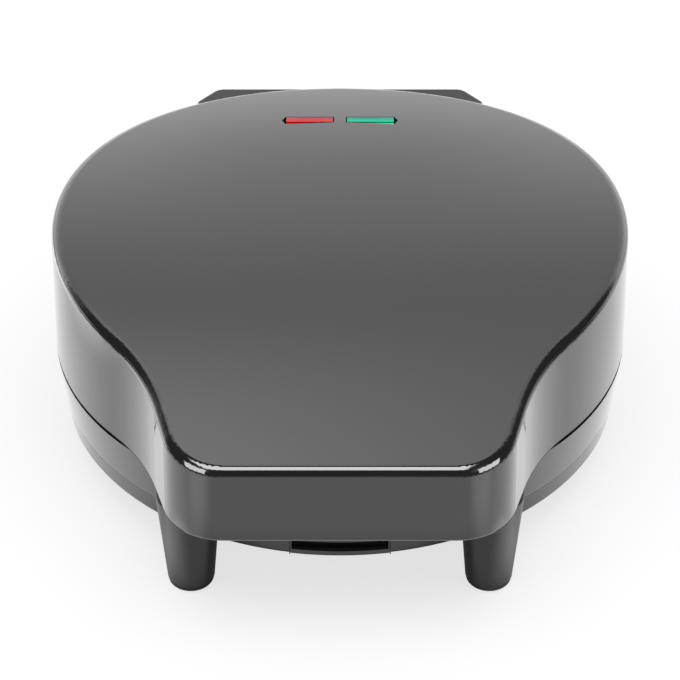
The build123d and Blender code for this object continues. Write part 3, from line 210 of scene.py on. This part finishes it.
@finish("gloss_black")
def gloss_black(t, at):
    """High-gloss charcoal moulding: ripple, dust, polishing marks, painted shade on the lips of the
    parting gap, a painted highlight along the seam and along the lid's lower front edge.
    """
    x, y, z = t.split(at)
    brow = y.between(brow_rear_y, brow_front_y)
    outside = (x * x + (y - body_axis_y) ** 2.0).between(0.0117, 0.0118)
    above_rim = z - rim_top_z
    above_lid_edge = z - lid_edge_z
    above_seam = z - cover_seam_z
    # Painted shade: the lips each side of the parting gap go black, metallic and rough, standing in
    # for the shade inside the gap.
    painted_gap_shade_low = above_rim.between(-0.00052, -0.00044) * above_rim.between(0.0003, 0.0001) * outside
    painted_gap_shade_high = above_lid_edge.between(0.00002, 0.00006) * above_lid_edge.between(0.00038, 0.00030)
    painted_gap_shade = painted_gap_shade_low + painted_gap_shade_high * (1.0 - brow)
    # Painted highlight: a thin pale line along the lid's lower edge at the front, and another along
    # the cover seam.
    painted_edge_highlight = above_lid_edge.between(0.0005, 0.0003) * above_lid_edge.between(-0.0002, -0.0001) * brow
    painted_seam_highlight = above_seam.between(-0.00043, -0.00027) * above_seam.between(0.00043, 0.00027)
    cover = above_seam.between(0.00003, -0.00001)
    cloud = t.noise(at, 9.0, 3.0)
    ripple = t.noise(at, 60.0, 1.0)
    dust = t.cells(at, 420.0).between(0.10, 0.04) * t.noise(at, 35.0).between(0.56, 0.68)
    rub = t.noise(t.stretch(at, (900.0, 60.0, 900.0)), 1.0, 2.0).between(0.62, 0.75)
    colour = t.mix(cloud, (0.009, 0.009, 0.0095), (0.012, 0.012, 0.0125))
    colour = t.mix(dust * 0.25, colour, (0.10, 0.10, 0.10))
    # The painted highlight lines, as lighter base colour.
    colour = t.mix((painted_seam_highlight + painted_edge_highlight * 0.7).clamped(), colour, (0.17, 0.17, 0.17))
    return {
        # Painted shade of the parting gap: black base colour, metal, no coat.
        "Base Color": t.mix(painted_gap_shade, colour, (0.001, 0.001, 0.001)),
        "Metallic": painted_gap_shade,
        "Roughness": 0.07 + cloud * 0.03 + rub * 0.012 + dust * 0.2 + painted_gap_shade * 0.7,
        "IOR": 1.5,
        "Coat Weight": (1.0 - dust * 0.3 - cover * 0.42) * (1.0 - painted_gap_shade),
        "Coat Roughness": 0.03,
        "Normal": t.bump(ripple, 0.05, 0.0006),
    }


@finish("satin_black")
def satin_black(t, at):
    """Spark-eroded satin moulding: a fine pebble grain."""
    grain = t.noise(at, 2400.0, 2.0, 0.6)
    pebble = t.cells(at, 1500.0)
    cloud = t.noise(at, 30.0, 3.0)
    return {
        "Base Color": t.mix(cloud, (0.012, 0.012, 0.0125), (0.018, 0.018, 0.0185)),
        "Roughness": 0.24 + grain * 0.12,
        "IOR": 1.48,
        "Normal": t.bump(grain * 0.6 + pebble * 0.5, 0.35, 0.00008),
    }


@finish("rubber_black")
def rubber_black(t, at):
    """Soft foot rubber, dull, with talc in its pores."""
    grain = t.noise(at, 1800.0, 3.0, 0.65)
    bloom = t.noise(at, 120.0, 3.0).between(0.45, 0.75)
    return {
        "Base Color": t.mix(bloom * 0.5, (0.022, 0.022, 0.022), (0.060, 0.059, 0.057)),
        "Roughness": 0.78 + grain * 0.15,
        "IOR": 1.5,
        "Normal": t.bump(grain, 0.5, 0.0001),
    }


@finish("nonstick")
def nonstick(t, at):
    """Sprayed dark coating on a casting: fine specks and a soft orange peel."""
    peel = t.noise(at, 900.0, 2.0)
    fleck = t.cells(at, 1300.0).between(0.16, 0.06)
    cloud = t.noise(at, 22.0, 3.0)
    colour = t.mix(cloud, (0.030, 0.030, 0.032), (0.043, 0.043, 0.045))
    return {
        "Base Color": t.mix(fleck * 0.5, colour, (0.17, 0.17, 0.17)),
        "Roughness": 0.30 + peel * 0.14 - fleck * 0.08,
        "Metallic": fleck * 0.5,
        "IOR": 1.45,
        "Normal": t.bump(peel, 0.3, 0.00012),
    }


@finish("sheath_steel")
def sheath_steel(t, at):
    """Drawn tube, annealed brown and blue along its length."""
    heat = t.noise(at, 18.0, 3.0)
    draw = t.noise(t.stretch(at, (300.0, 300.0, 2600.0)), 1.0, 2.0)
    colour = t.mix(heat.between(0.35, 0.6), (0.24, 0.20, 0.16), (0.34, 0.33, 0.32))
    return {
        "Base Color": t.mix(heat.between(0.58, 0.72), colour, (0.17, 0.18, 0.24)),
        "Metallic": 1.0,
        "Roughness": 0.36 + draw * 0.16,
        "Normal": t.bump(draw, 0.2, 0.00005),
    }


@finish("sheet_steel")
def sheet_steel(t, at):
    """Aluminised sheet: soft rolling lines and pale spangle."""
    lines = t.noise(t.stretch(at, (60.0, 3200.0, 3200.0)), 1.0, 2.0)
    spangle = t.cells(at, 240.0, output="Color")
    tint = t.split(spangle)[0]
    return {
        "Base Color": t.mix(tint, (0.60, 0.61, 0.62), (0.70, 0.71, 0.72)),
        "Metallic": 1.0,
        "Roughness": 0.24 + lines * 0.12 + tint * 0.06,
        "Normal": t.bump(lines, 0.15, 0.00004),
    }


@finish("screw_steel")
def screw_steel(t, at):
    """Bright zinc with a faint straw and blue cast."""
    cast = t.noise(at, 210.0, 2.0)
    mark = t.noise(at, 2600.0, 2.0)
    colour = t.mix(cast.between(0.3, 0.6), (0.56, 0.56, 0.58), (0.60, 0.57, 0.48))
    return {
        "Base Color": t.mix(cast.between(0.6, 0.8), colour, (0.45, 0.50, 0.58)),
        "Metallic": 1.0,
        "Roughness": 0.24 + mark * 0.16,
        "Normal": t.bump(mark, 0.15, 0.00004),
    }


@finish("thermostat_body")
def thermostat_body(t, at):
    """Brown phenolic with visible filler."""
    filler = t.noise(at, 900.0, 4.0, 0.7)
    return {
        "Base Color": t.mix(filler, (0.060, 0.036, 0.022), (0.105, 0.070, 0.046)),
        "Roughness": 0.40 + filler * 0.15,
        "Normal": t.bump(filler, 0.2, 0.00006),
    }


@finish("ceramic")
def ceramic(t, at):
    """White steatite with small dark specks under a thin glaze."""
    speck = t.cells(at, 700.0).between(0.12, 0.05)
    cloud = t.noise(at, 80.0, 2.0)
    colour = t.mix(cloud, (0.78, 0.76, 0.70), (0.84, 0.82, 0.77))
    return {
        "Base Color": t.mix(speck * 0.5, colour, (0.42, 0.38, 0.32)),
        "Roughness": 0.28 + cloud * 0.14,
        "Normal": t.bump(cloud, 0.1, 0.0001),
    }


@finish("fuse_body")
def fuse_body(t, at):
    """Tinned cartridge, dull gold."""
    tin = t.noise(at, 500.0, 3.0)
    return {
        "Base Color": t.mix(tin, (0.58, 0.52, 0.38), (0.68, 0.64, 0.52)),
        "Metallic": 1.0,
        "Roughness": 0.28 + tin * 0.14,
    }


@finish("sleeve")
def sleeve(t, at):
    """Braided glass-fibre sleeving, dark."""
    x, y, z = t.split(at)
    strands = 2600.0
    braid = ((x + z) * strands).wave() * ((x - z + y) * strands).wave()
    weave = (braid * 0.5 + 0.5).clamped()
    return {
        "Base Color": t.mix(weave, (0.030, 0.030, 0.031), (0.085, 0.085, 0.086)),
        "Roughness": 0.80 - weave * 0.15,
        "Normal": t.bump(weave, 0.6, 0.0002),
    }


@finish("wire")
def wire(t, at):
    """Pale varnished glass braid."""
    x, y, z = t.split(at)
    turn = ((x + y + z) * 3000.0).wave() * 0.5 + 0.5
    return {
        "Base Color": t.mix(turn, (0.56, 0.54, 0.47), (0.72, 0.70, 0.63)),
        "Roughness": 0.62 - turn * 0.12,
        "Normal": t.bump(turn, 0.4, 0.00015),
    }


def lens_painted_bands(t, at, rear, slope, ridge_highlight, wall_shade, lip_highlight):
    """Colour by band across the window: darker towards the rear, a painted highlight along the ridge
    and the lip, painted shade on the steep wall.
    """
    x, y, z = t.split(at)
    colour = t.mix(y.between(0.0822, 0.0782), rear, slope)
    colour = t.mix(y.between(0.07850, 0.07825), colour, ridge_highlight)
    colour = t.mix(y.between(0.07797, 0.07791), colour, wall_shade)
    far = x.size().between(0.008, 0.021)
    return t.mix(y.between(0.07771, 0.07765), colour, t.mix(far, wall_shade, lip_highlight))


def clear_moulding(t, at, body, *painted_bands):
    cloud = t.noise(at, 160.0, 2.0)
    return {
        # Body colour mixed with the bands of painted highlight and painted shade.
        "Base Color": t.mix(cloud * 0.15, lens_painted_bands(t, at, *painted_bands), body),
        "Roughness": 0.10 + cloud * 0.06,
        "IOR": 1.22,
    }


@finish("red_lens")
def red_lens(t, at):
    """Clear red moulding."""
    # Band colours: a painted highlight on the ridge and the lip, painted shade on the steep wall.
    rear, slope, ridge_highlight = (0.20, 0.022, 0.040), (0.60, 0.040, 0.045), (0.90, 0.110, 0.110)
    wall_shade, lip_highlight = (0.34, 0.004, 0.005), (0.66, 0.020, 0.020)
    return clear_moulding(t, at, (0.50, 0.03, 0.03), rear, slope, ridge_highlight, wall_shade, lip_highlight)


@finish("green_lens")
def green_lens(t, at):
    """Clear green moulding."""
    # Band colours: a painted highlight on the ridge and the lip, painted shade on the steep wall.
    rear, slope, ridge_highlight = (0.012, 0.16, 0.13), (0.012, 0.50, 0.32), (0.040, 0.76, 0.46)
    wall_shade, lip_highlight = (0.001, 0.24, 0.10), (0.060, 0.74, 0.42)
    return clear_moulding(t, at, (0.01, 0.40, 0.24), rear, slope, ridge_highlight, wall_shade, lip_highlight)


@finish("lamp_glass")
def lamp_glass(t, at):
    """Thin lamp glass with its orange coating."""
    cloud = t.noise(at, 300.0, 2.0)
    return {
        "Base Color": t.mix(cloud, (0.85, 0.50, 0.36), (0.95, 0.66, 0.50)),
        "Roughness": 0.05 + cloud * 0.05,
        "Transmission Weight": 0.7,
    }


for row in frame["record"]["subparts"]:
    piece = nodes[row["node"]]
    piece.data.materials.clear()
    piece.data.materials.append(finishes[row["material_slot"]])


def deselect():
    """Every operator acts on what is selected, so each piece starts from nothing selected."""
    if bpy.context.object and bpy.context.object.mode == "EDIT":
        bpy.ops.object.mode_set(mode="OBJECT")
    bpy.ops.object.select_all(action="DESELECT")


def settle(piece, name):
    """Names a new primitive and puts its place into its mesh."""
    piece.name = name
    bpy.ops.object.transform_apply(location=True, rotation=True, scale=True)
    return piece


def block(name, low, high):
    """A box between two corners, to be shaped further."""
    deselect()
    middle = [(a + b) / 2 for a, b in zip(low, high)]
    bpy.ops.mesh.primitive_cube_add(size=1.0, location=middle)
    piece = bpy.context.object
    piece.scale = [b - a for a, b in zip(low, high)]
    return settle(piece, name)


def choose(piece, kind, test):
    """Selects the vertices, edges or faces whose centre and normal pass test, in edit mode."""
    bpy.ops.mesh.select_mode(type=kind)
    bpy.ops.mesh.select_all(action="DESELECT")
    mesh = bmesh.from_edit_mesh(piece.data)
    chosen = {"VERT": mesh.verts, "EDGE": mesh.edges, "FACE": mesh.faces}[kind]
    for item in chosen:
        if kind == "VERT":
            centre, normal = item.co, item.normal
        elif kind == "EDGE":
            start, end = item.verts[0].co, item.verts[1].co
            centre, normal = (start + end) / 2, end - start
        else:
            centre, normal = item.calc_center_median(), item.normal
        item.select_set(test(centre, normal))
    mesh.select_flush_mode()
    bmesh.update_edit_mesh(piece.data)


def cut(place, across):
    """Adds an edge ring where a plane crosses the whole piece."""
    bpy.ops.mesh.select_all(action="SELECT")
    bpy.ops.mesh.bisect(plane_co=place, plane_no=across)


def shift(x=0.0, y=0.0, z=0.0):
    bpy.ops.transform.translate(value=(x, y, z))


def extrude(x=0.0, y=0.0, z=0.0):
    bpy.ops.mesh.extrude_region_move(TRANSFORM_OT_translate={"value": (x, y, z)})


def face_outward():
    bpy.ops.mesh.select_all(action="SELECT")
    bpy.ops.mesh.normals_make_consistent(inside=False)


def mirror_to_left(piece, name):
    """Turns a right-hand piece into its left-hand twin."""
    piece.scale.x = -1.0
    settle(piece, name)
    bpy.ops.object.mode_set(mode="EDIT")
    face_outward()
    bpy.ops.object.mode_set(mode="OBJECT")


def smooth(piece, angle=30.0):
    deselect()
    piece.select_set(True)
    bpy.context.view_layer.objects.active = piece
    bpy.ops.object.shade_smooth_by_angle(angle=radians(angle))


def dress(piece, slot, body):
    """Gives a new piece its finish and the body that it moves with."""
    piece.data.materials.clear()
    piece.data.materials.append(finishes[slot])
    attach(piece, body)


def near(value, target, reach=0.00005):
    return abs(value - target) < reach


lens_near_x, lens_far_x = mm(2.85, 21.6)
lens_rear_y, lens_ridge_y, lens_step_y, lens_front_y = mm(82.25, 77.92, 77.73, 75.70)
lens_base_z, lens_top_z = mm(86.0, 90.5)
lens_rises = mm(-0.38, 0.22, -0.35, -0.05)
lens_lip_taper, lens_lip_flush, lens_flange, lens_edge = mm(1.8, 0.02, 0.03, 0.16)


def indicator_lens(side, name, slot):
    """Bar-shaped window: a sloping upper face, a bright ridge, a steep step and a wedge-shaped lip."""
    low = (lens_near_x, lens_front_y, lens_base_z)
    high = (lens_far_x, lens_rear_y, lens_top_z)
    piece = block(name, low, high)
    bpy.ops.object.mode_set(mode="EDIT")
    cut((0.0, lens_ridge_y, 0.0), (0.0, 1.0, 0.0))
    cut((0.0, lens_step_y, 0.0), (0.0, 1.0, 0.0))
    for y, rise in zip((lens_rear_y, lens_ridge_y, lens_step_y, lens_front_y), lens_rises):
        choose(piece, "VERT", lambda at, n: near(at.y, y) and near(at.z, lens_top_z))
        shift(z=rise)
    choose(piece, "VERT", lambda at, n: near(at.y, lens_front_y) and near(at.x, lens_near_x))
    shift(y=lens_lip_taper)
    choose(piece, "VERT", lambda at, n: near(at.y, lens_step_y) and near(at.x, lens_near_x))
    shift(y=lens_lip_flush)
    choose(piece, "FACE", lambda at, n: n.z < -0.9)
    extrude()
    middle = ((lens_near_x + lens_far_x) / 2, (lens_front_y + lens_rear_y) / 2, lens_base_z)
    bpy.ops.transform.resize(value=(1.10, 1.24, 1.0), center_override=middle)
    extrude(z=-lens_flange)
    bpy.ops.object.mode_set(mode="OBJECT")
    soften = piece.modifiers.new("soften", "BEVEL")
    soften.width = lens_edge
    soften.segments = 3
    soften.limit_method = "ANGLE"
    soften.angle_limit = radians(12)
    bpy.ops.object.modifier_apply(modifier="soften")
    if side < 0:
        mirror_to_left(piece, name)
    smooth(piece)
    dress(piece, slot, "lid")
    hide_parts(slot)


def turned_on_y(name, x, z, steps):
    """A ring section turned about a line along Y: a circle drawn out through steps of (y, radius)."""
    deselect()
    first_y, first_radius = steps[0]
    place = (x, first_y, z)
    turn = (radians(90), 0.0, 0.0)
    bpy.ops.mesh.primitive_circle_add(vertices=72, radius=first_radius, location=place, rotation=turn)
    piece = settle(bpy.context.object, name)
    bpy.ops.object.mode_set(mode="EDIT")
    bpy.ops.mesh.select_mode(type="EDGE")
    bpy.ops.mesh.select_all(action="SELECT")
    for (last_y, last_radius), (y, radius) in zip(steps, steps[1:]):
        extrude(y=y - last_y)
        ratio = radius / last_radius
        bpy.ops.transform.resize(value=(ratio, 1.0, ratio), center_override=(x, y, z))
    bpy.ops.mesh.select_all(action="DESELECT")
    bpy.ops.mesh.select_non_manifold()
    bpy.ops.mesh.bridge_edge_loops()
    face_outward()
    bpy.ops.object.mode_set(mode="OBJECT")
    smooth(piece, 40.0)
    return piece


def cord_bush():
    """Ribbed rubber bush round the cord's way in, with a collar against the rear wall."""
    low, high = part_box("cord_gland")
    collar = high[0]
    body, groove, bore = mm(6.2, 5.5, 3.75)
    face = high[1] - 0.007
    steps = [(low[1], body), (face, body)]
    steps += [(face + 0.00005, collar - 0.0003), (face + 0.0003, collar), (face + 0.0016, collar)]
    steps += [(face + 0.0021, collar - 0.0006), (face + 0.0022, body + 0.0002)]
    for rib in range(3):
        start = face + 0.0026 + rib * 0.0013
        steps += [(start, body - 0.0001), (start + 0.0001, groove)]
        steps += [(start + 0.0006, groove), (start + 0.0007, body - 0.0001)]
    steps += [(high[1] - 0.0003, body - 0.0001), (high[1], body - 0.0005)]
    steps += [(high[1], bore + 0.0004), (high[1] - 0.0004, bore), (low[1], bore)]
    bush = turned_on_y("cord_bush", 0.0, (low[2] + high[2]) / 2, steps)
    dress(bush, "rubber_black", "base")
    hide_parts("cord_gland")


def notch_guide(side, name):
    """Slide strip on each cheek of the latch notch, so that no light shows past the lever."""
    low_x, high_x = mm(18.10, 18.42)
    rear, front, front_top = mm(-94.2, -100.25, -102.1)
    bottom, top = mm(15.25, 41.3)
    piece = block(name, (low_x, front, bottom), (high_x, rear, top))
    bpy.ops.object.mode_set(mode="EDIT")
    choose(piece, "VERT", lambda at, n: near(at.y, front) and near(at.z, top))
    shift(y=front_top - front)
    front_reach, edge = mm(3.0, 0.1)
    outer = lambda at, n: near(at.y, front, front_reach) or near(at.z, top) or near(at.z, bottom)
    choose(piece, "EDGE", outer)
    bpy.ops.mesh.bevel(offset=edge, segments=2, affect="EDGES")
    bpy.ops.object.mode_set(mode="OBJECT")
    if side < 0:
        mirror_to_left(piece, name)
    smooth(piece)
    dress(piece, "satin_black", "base")


indicator_lens(-1, "red_window", "red_lens")
indicator_lens(1, "green_window", "green_lens")
cord_bush()
notch_guide(-1, "notch_guide_left")
notch_guide(1, "notch_guide_right")


card_distance = 0.034
card_light = 7.0


def bounce_card(name, corner, toward, width, height):
    """A small bright card that only the gloss of the nearest corner sees."""
    deselect()
    aim = Vector(toward).normalized()
    place = Vector(mm(*corner)) + aim * card_distance
    bpy.ops.mesh.primitive_plane_add(size=1.0, location=place)
    card = bpy.context.object
    card.name = name
    card.rotation_euler = aim.to_track_quat("Z", "Y").to_euler()
    card.scale = (width, height, 1.0)
    card.visible_camera = False
    card.visible_diffuse = False
    card.visible_transmission = False
    card.visible_shadow = False
    material = bpy.data.materials.new(name)
    material.use_nodes = True
    t = Nodes(material.node_tree)
    (travel,) = t.light_path("Ray Length")
    near_by = travel.between(0.060, 0.048)
    glow = t.glow("ShaderNodeEmission", card_light)
    clear = t.node("ShaderNodeBsdfTransparent")
    surface = t.node("ShaderNodeMixShader", None, {0: near_by, 1: clear, 2: glow})
    t.node("ShaderNodeOutputMaterial", None, {"Surface": surface})
    card.data.materials.append(material)


bounce_card("left_card", (-52.0, -118.0, 71.0), (-0.60, -0.77, 0.24), 0.027, 0.026)
bounce_card("right_card", (52.0, -118.0, 71.0), (0.72, -0.66, 0.24), 0.029, 0.026)


def studio_floor():
    """A wide white floor that keeps a light shadow. Gloss sees it with painted shadow and painted
    bright patches, placed for the reflections on the object.
    """
    deselect()
    bpy.ops.mesh.primitive_plane_add(size=12.0, location=(0.0, 0.0, -0.00005))
    floor = bpy.context.object
    settle(floor, "floor")
    material = bpy.data.materials.new("floor")
    material.use_nodes = True
    t = Nodes(material.node_tree)
    cloud = t.noise(t.place(), 3.0, 2.0)
    colour = t.mix(cloud, (0.96, 0.96, 0.96), (0.98, 0.98, 0.98))
    matte = t.node("ShaderNodeBsdfDiffuse", None, {"Color": colour})
    x, y, z = t.split(t.place())
    aside = x.size()
    before = y.between(0.0, -0.06)
    reach = (x * x + y * y) ** 0.5
    # Seen by gloss only: painted shade beyond the lit part of the floor.
    painted_shade_beyond = reach.between(0.30, 0.36) * y.between(0.12, 0.02)
    # Painted shadow in reflections: a darker floor in the middle in front and under the feet, and
    # darker behind.
    middle = aside.between(0.105, 0.065) * before * 0.14
    painted_shadow_feet = aside.between(0.095, 0.050) * y.between(-0.19, -0.165) * before * 0.75
    # Painted reflections: bright patches of floor for the porch, the sheen, the glint and the flank.
    painted_light_porch = aside.between(0.078, 0.058) * y.between(-0.175, -0.165) * y.between(-0.100, -0.112)
    sheen = x.between(-0.180, -0.225) * y.between(-0.06, -0.02) * y.between(0.26, 0.14)
    glint = (((aside - 0.118) ** 2.0 + (y + 0.188) ** 2.0) ** 0.5).between(0.045, 0.012)
    flank = (((aside - 0.088) ** 2.0 + (y + 0.116) ** 2.0) ** 0.5).between(0.036, 0.010)
    behind = y.between(-0.01, 0.05) * 0.12
    painted_bright_patches = painted_light_porch * 0.62 + sheen * 1.3 + glint * 0.45 + flank * 1.5
    # Gloss level: painted shadow taken off, painted bright patches added.
    level = (1.0 - middle - painted_shadow_feet - behind + painted_bright_patches) * (1.0 - painted_shade_beyond)
    direct, gloss = t.light_path("Is Camera Ray", "Is Glossy Ray")
    white = t.glow("ShaderNodeEmission", direct + gloss * level)
    share = direct * 0.72 + gloss * 0.88
    surface = t.node("ShaderNodeMixShader", None, {0: share, 1: matte, 2: white})
    t.node("ShaderNodeOutputMaterial", None, {"Surface": surface})
    floor.data.materials.append(material)


def studio_world(ambient):
    """White surroundings. Gloss sees soft panels: one low at the rear, one overhead, dark between."""
    world = bpy.data.worlds.new("studio")
    bpy.context.scene.world = world
    world.use_nodes = True
    t = Nodes(world.node_tree)
    x, y, z = t.split(t.node("ShaderNodeTexCoord", output="Generated"))
    aside = x.size()
    lean = x.between(-0.12, 0.12)
    low = z.between(0.45, 0.20) * 0.14 + z.between(0.76, 0.56) * 0.07
    high = z.between(0.74, 1.0) * 0.85 * (1.45 - lean * 0.9)
    edge = aside.between(0.02, 0.11) * z.between(0.70, 0.40) * 0.26
    rear_window = (y - aside * 0.35).between(0.02, 0.24) * (1.03 - lean * 0.06)
    rear = rear_window * (0.79 + low + high + edge)
    overhead = y.between(-0.66, -0.54) * y.between(-0.02, -0.10) * z.between(0.5, 0.6)
    overhead = overhead * x.between(-0.42, -0.36) * x.between(0.22, 0.15)
    front = y.between(-0.40, -0.55) * z.between(0.10, 0.30) * aside.between(0.28, 0.45)
    flank = x.between(-0.70, -0.85) * y.between(0.14, 0.36) * (0.36 + z.between(0.12, 0.0))
    seen = 0.06 + rear + flank + overhead * 8.0 + front * 0.35
    direct, gloss = t.light_path("Is Camera Ray", "Is Glossy Ray")
    level = ambient * (1.0 - gloss) * (1.0 - direct) + seen * gloss + direct
    background = t.glow("ShaderNodeBackground", level)
    t.node("ShaderNodeOutputWorld", None, {"Surface": background})


def soft_lamp(name, place, target, width, height, power):
    """A large soft lamp aimed at a point."""
    lamp = bpy.data.lights.new(name, "AREA")
    lamp.shape = "RECTANGLE"
    lamp.size = width
    lamp.size_y = height
    lamp.energy = power
    holder = bpy.data.objects.new(name, lamp)
    bpy.context.collection.objects.link(holder)
    holder.location = place
    holder.rotation_euler = (Vector(target) - Vector(place)).to_track_quat("-Z", "Y").to_euler()
    holder.visible_glossy = False


def studio_camera():
    """The photograph's viewing angle."""
    camera = bpy.data.cameras.new("camera")
    camera.lens = 137.65
    camera.sensor_width = 36.0
    holder = bpy.data.objects.new("camera", camera)
    bpy.context.collection.objects.link(holder)
    holder.location = (0.0, -0.8198, 0.6304)
    holder.rotation_euler = (radians(54.183), 0.0, 0.0)
    bpy.context.scene.camera = holder


studio_floor()
studio_world(ambient=0.70)
soft_lamp("top_lamp", (0.0, -0.35, 1.6), (0.0, 0.0, 0.0), 1.6, 1.2, 15.0)
studio_camera()
bpy.context.scene.view_settings.view_transform = "Standard"
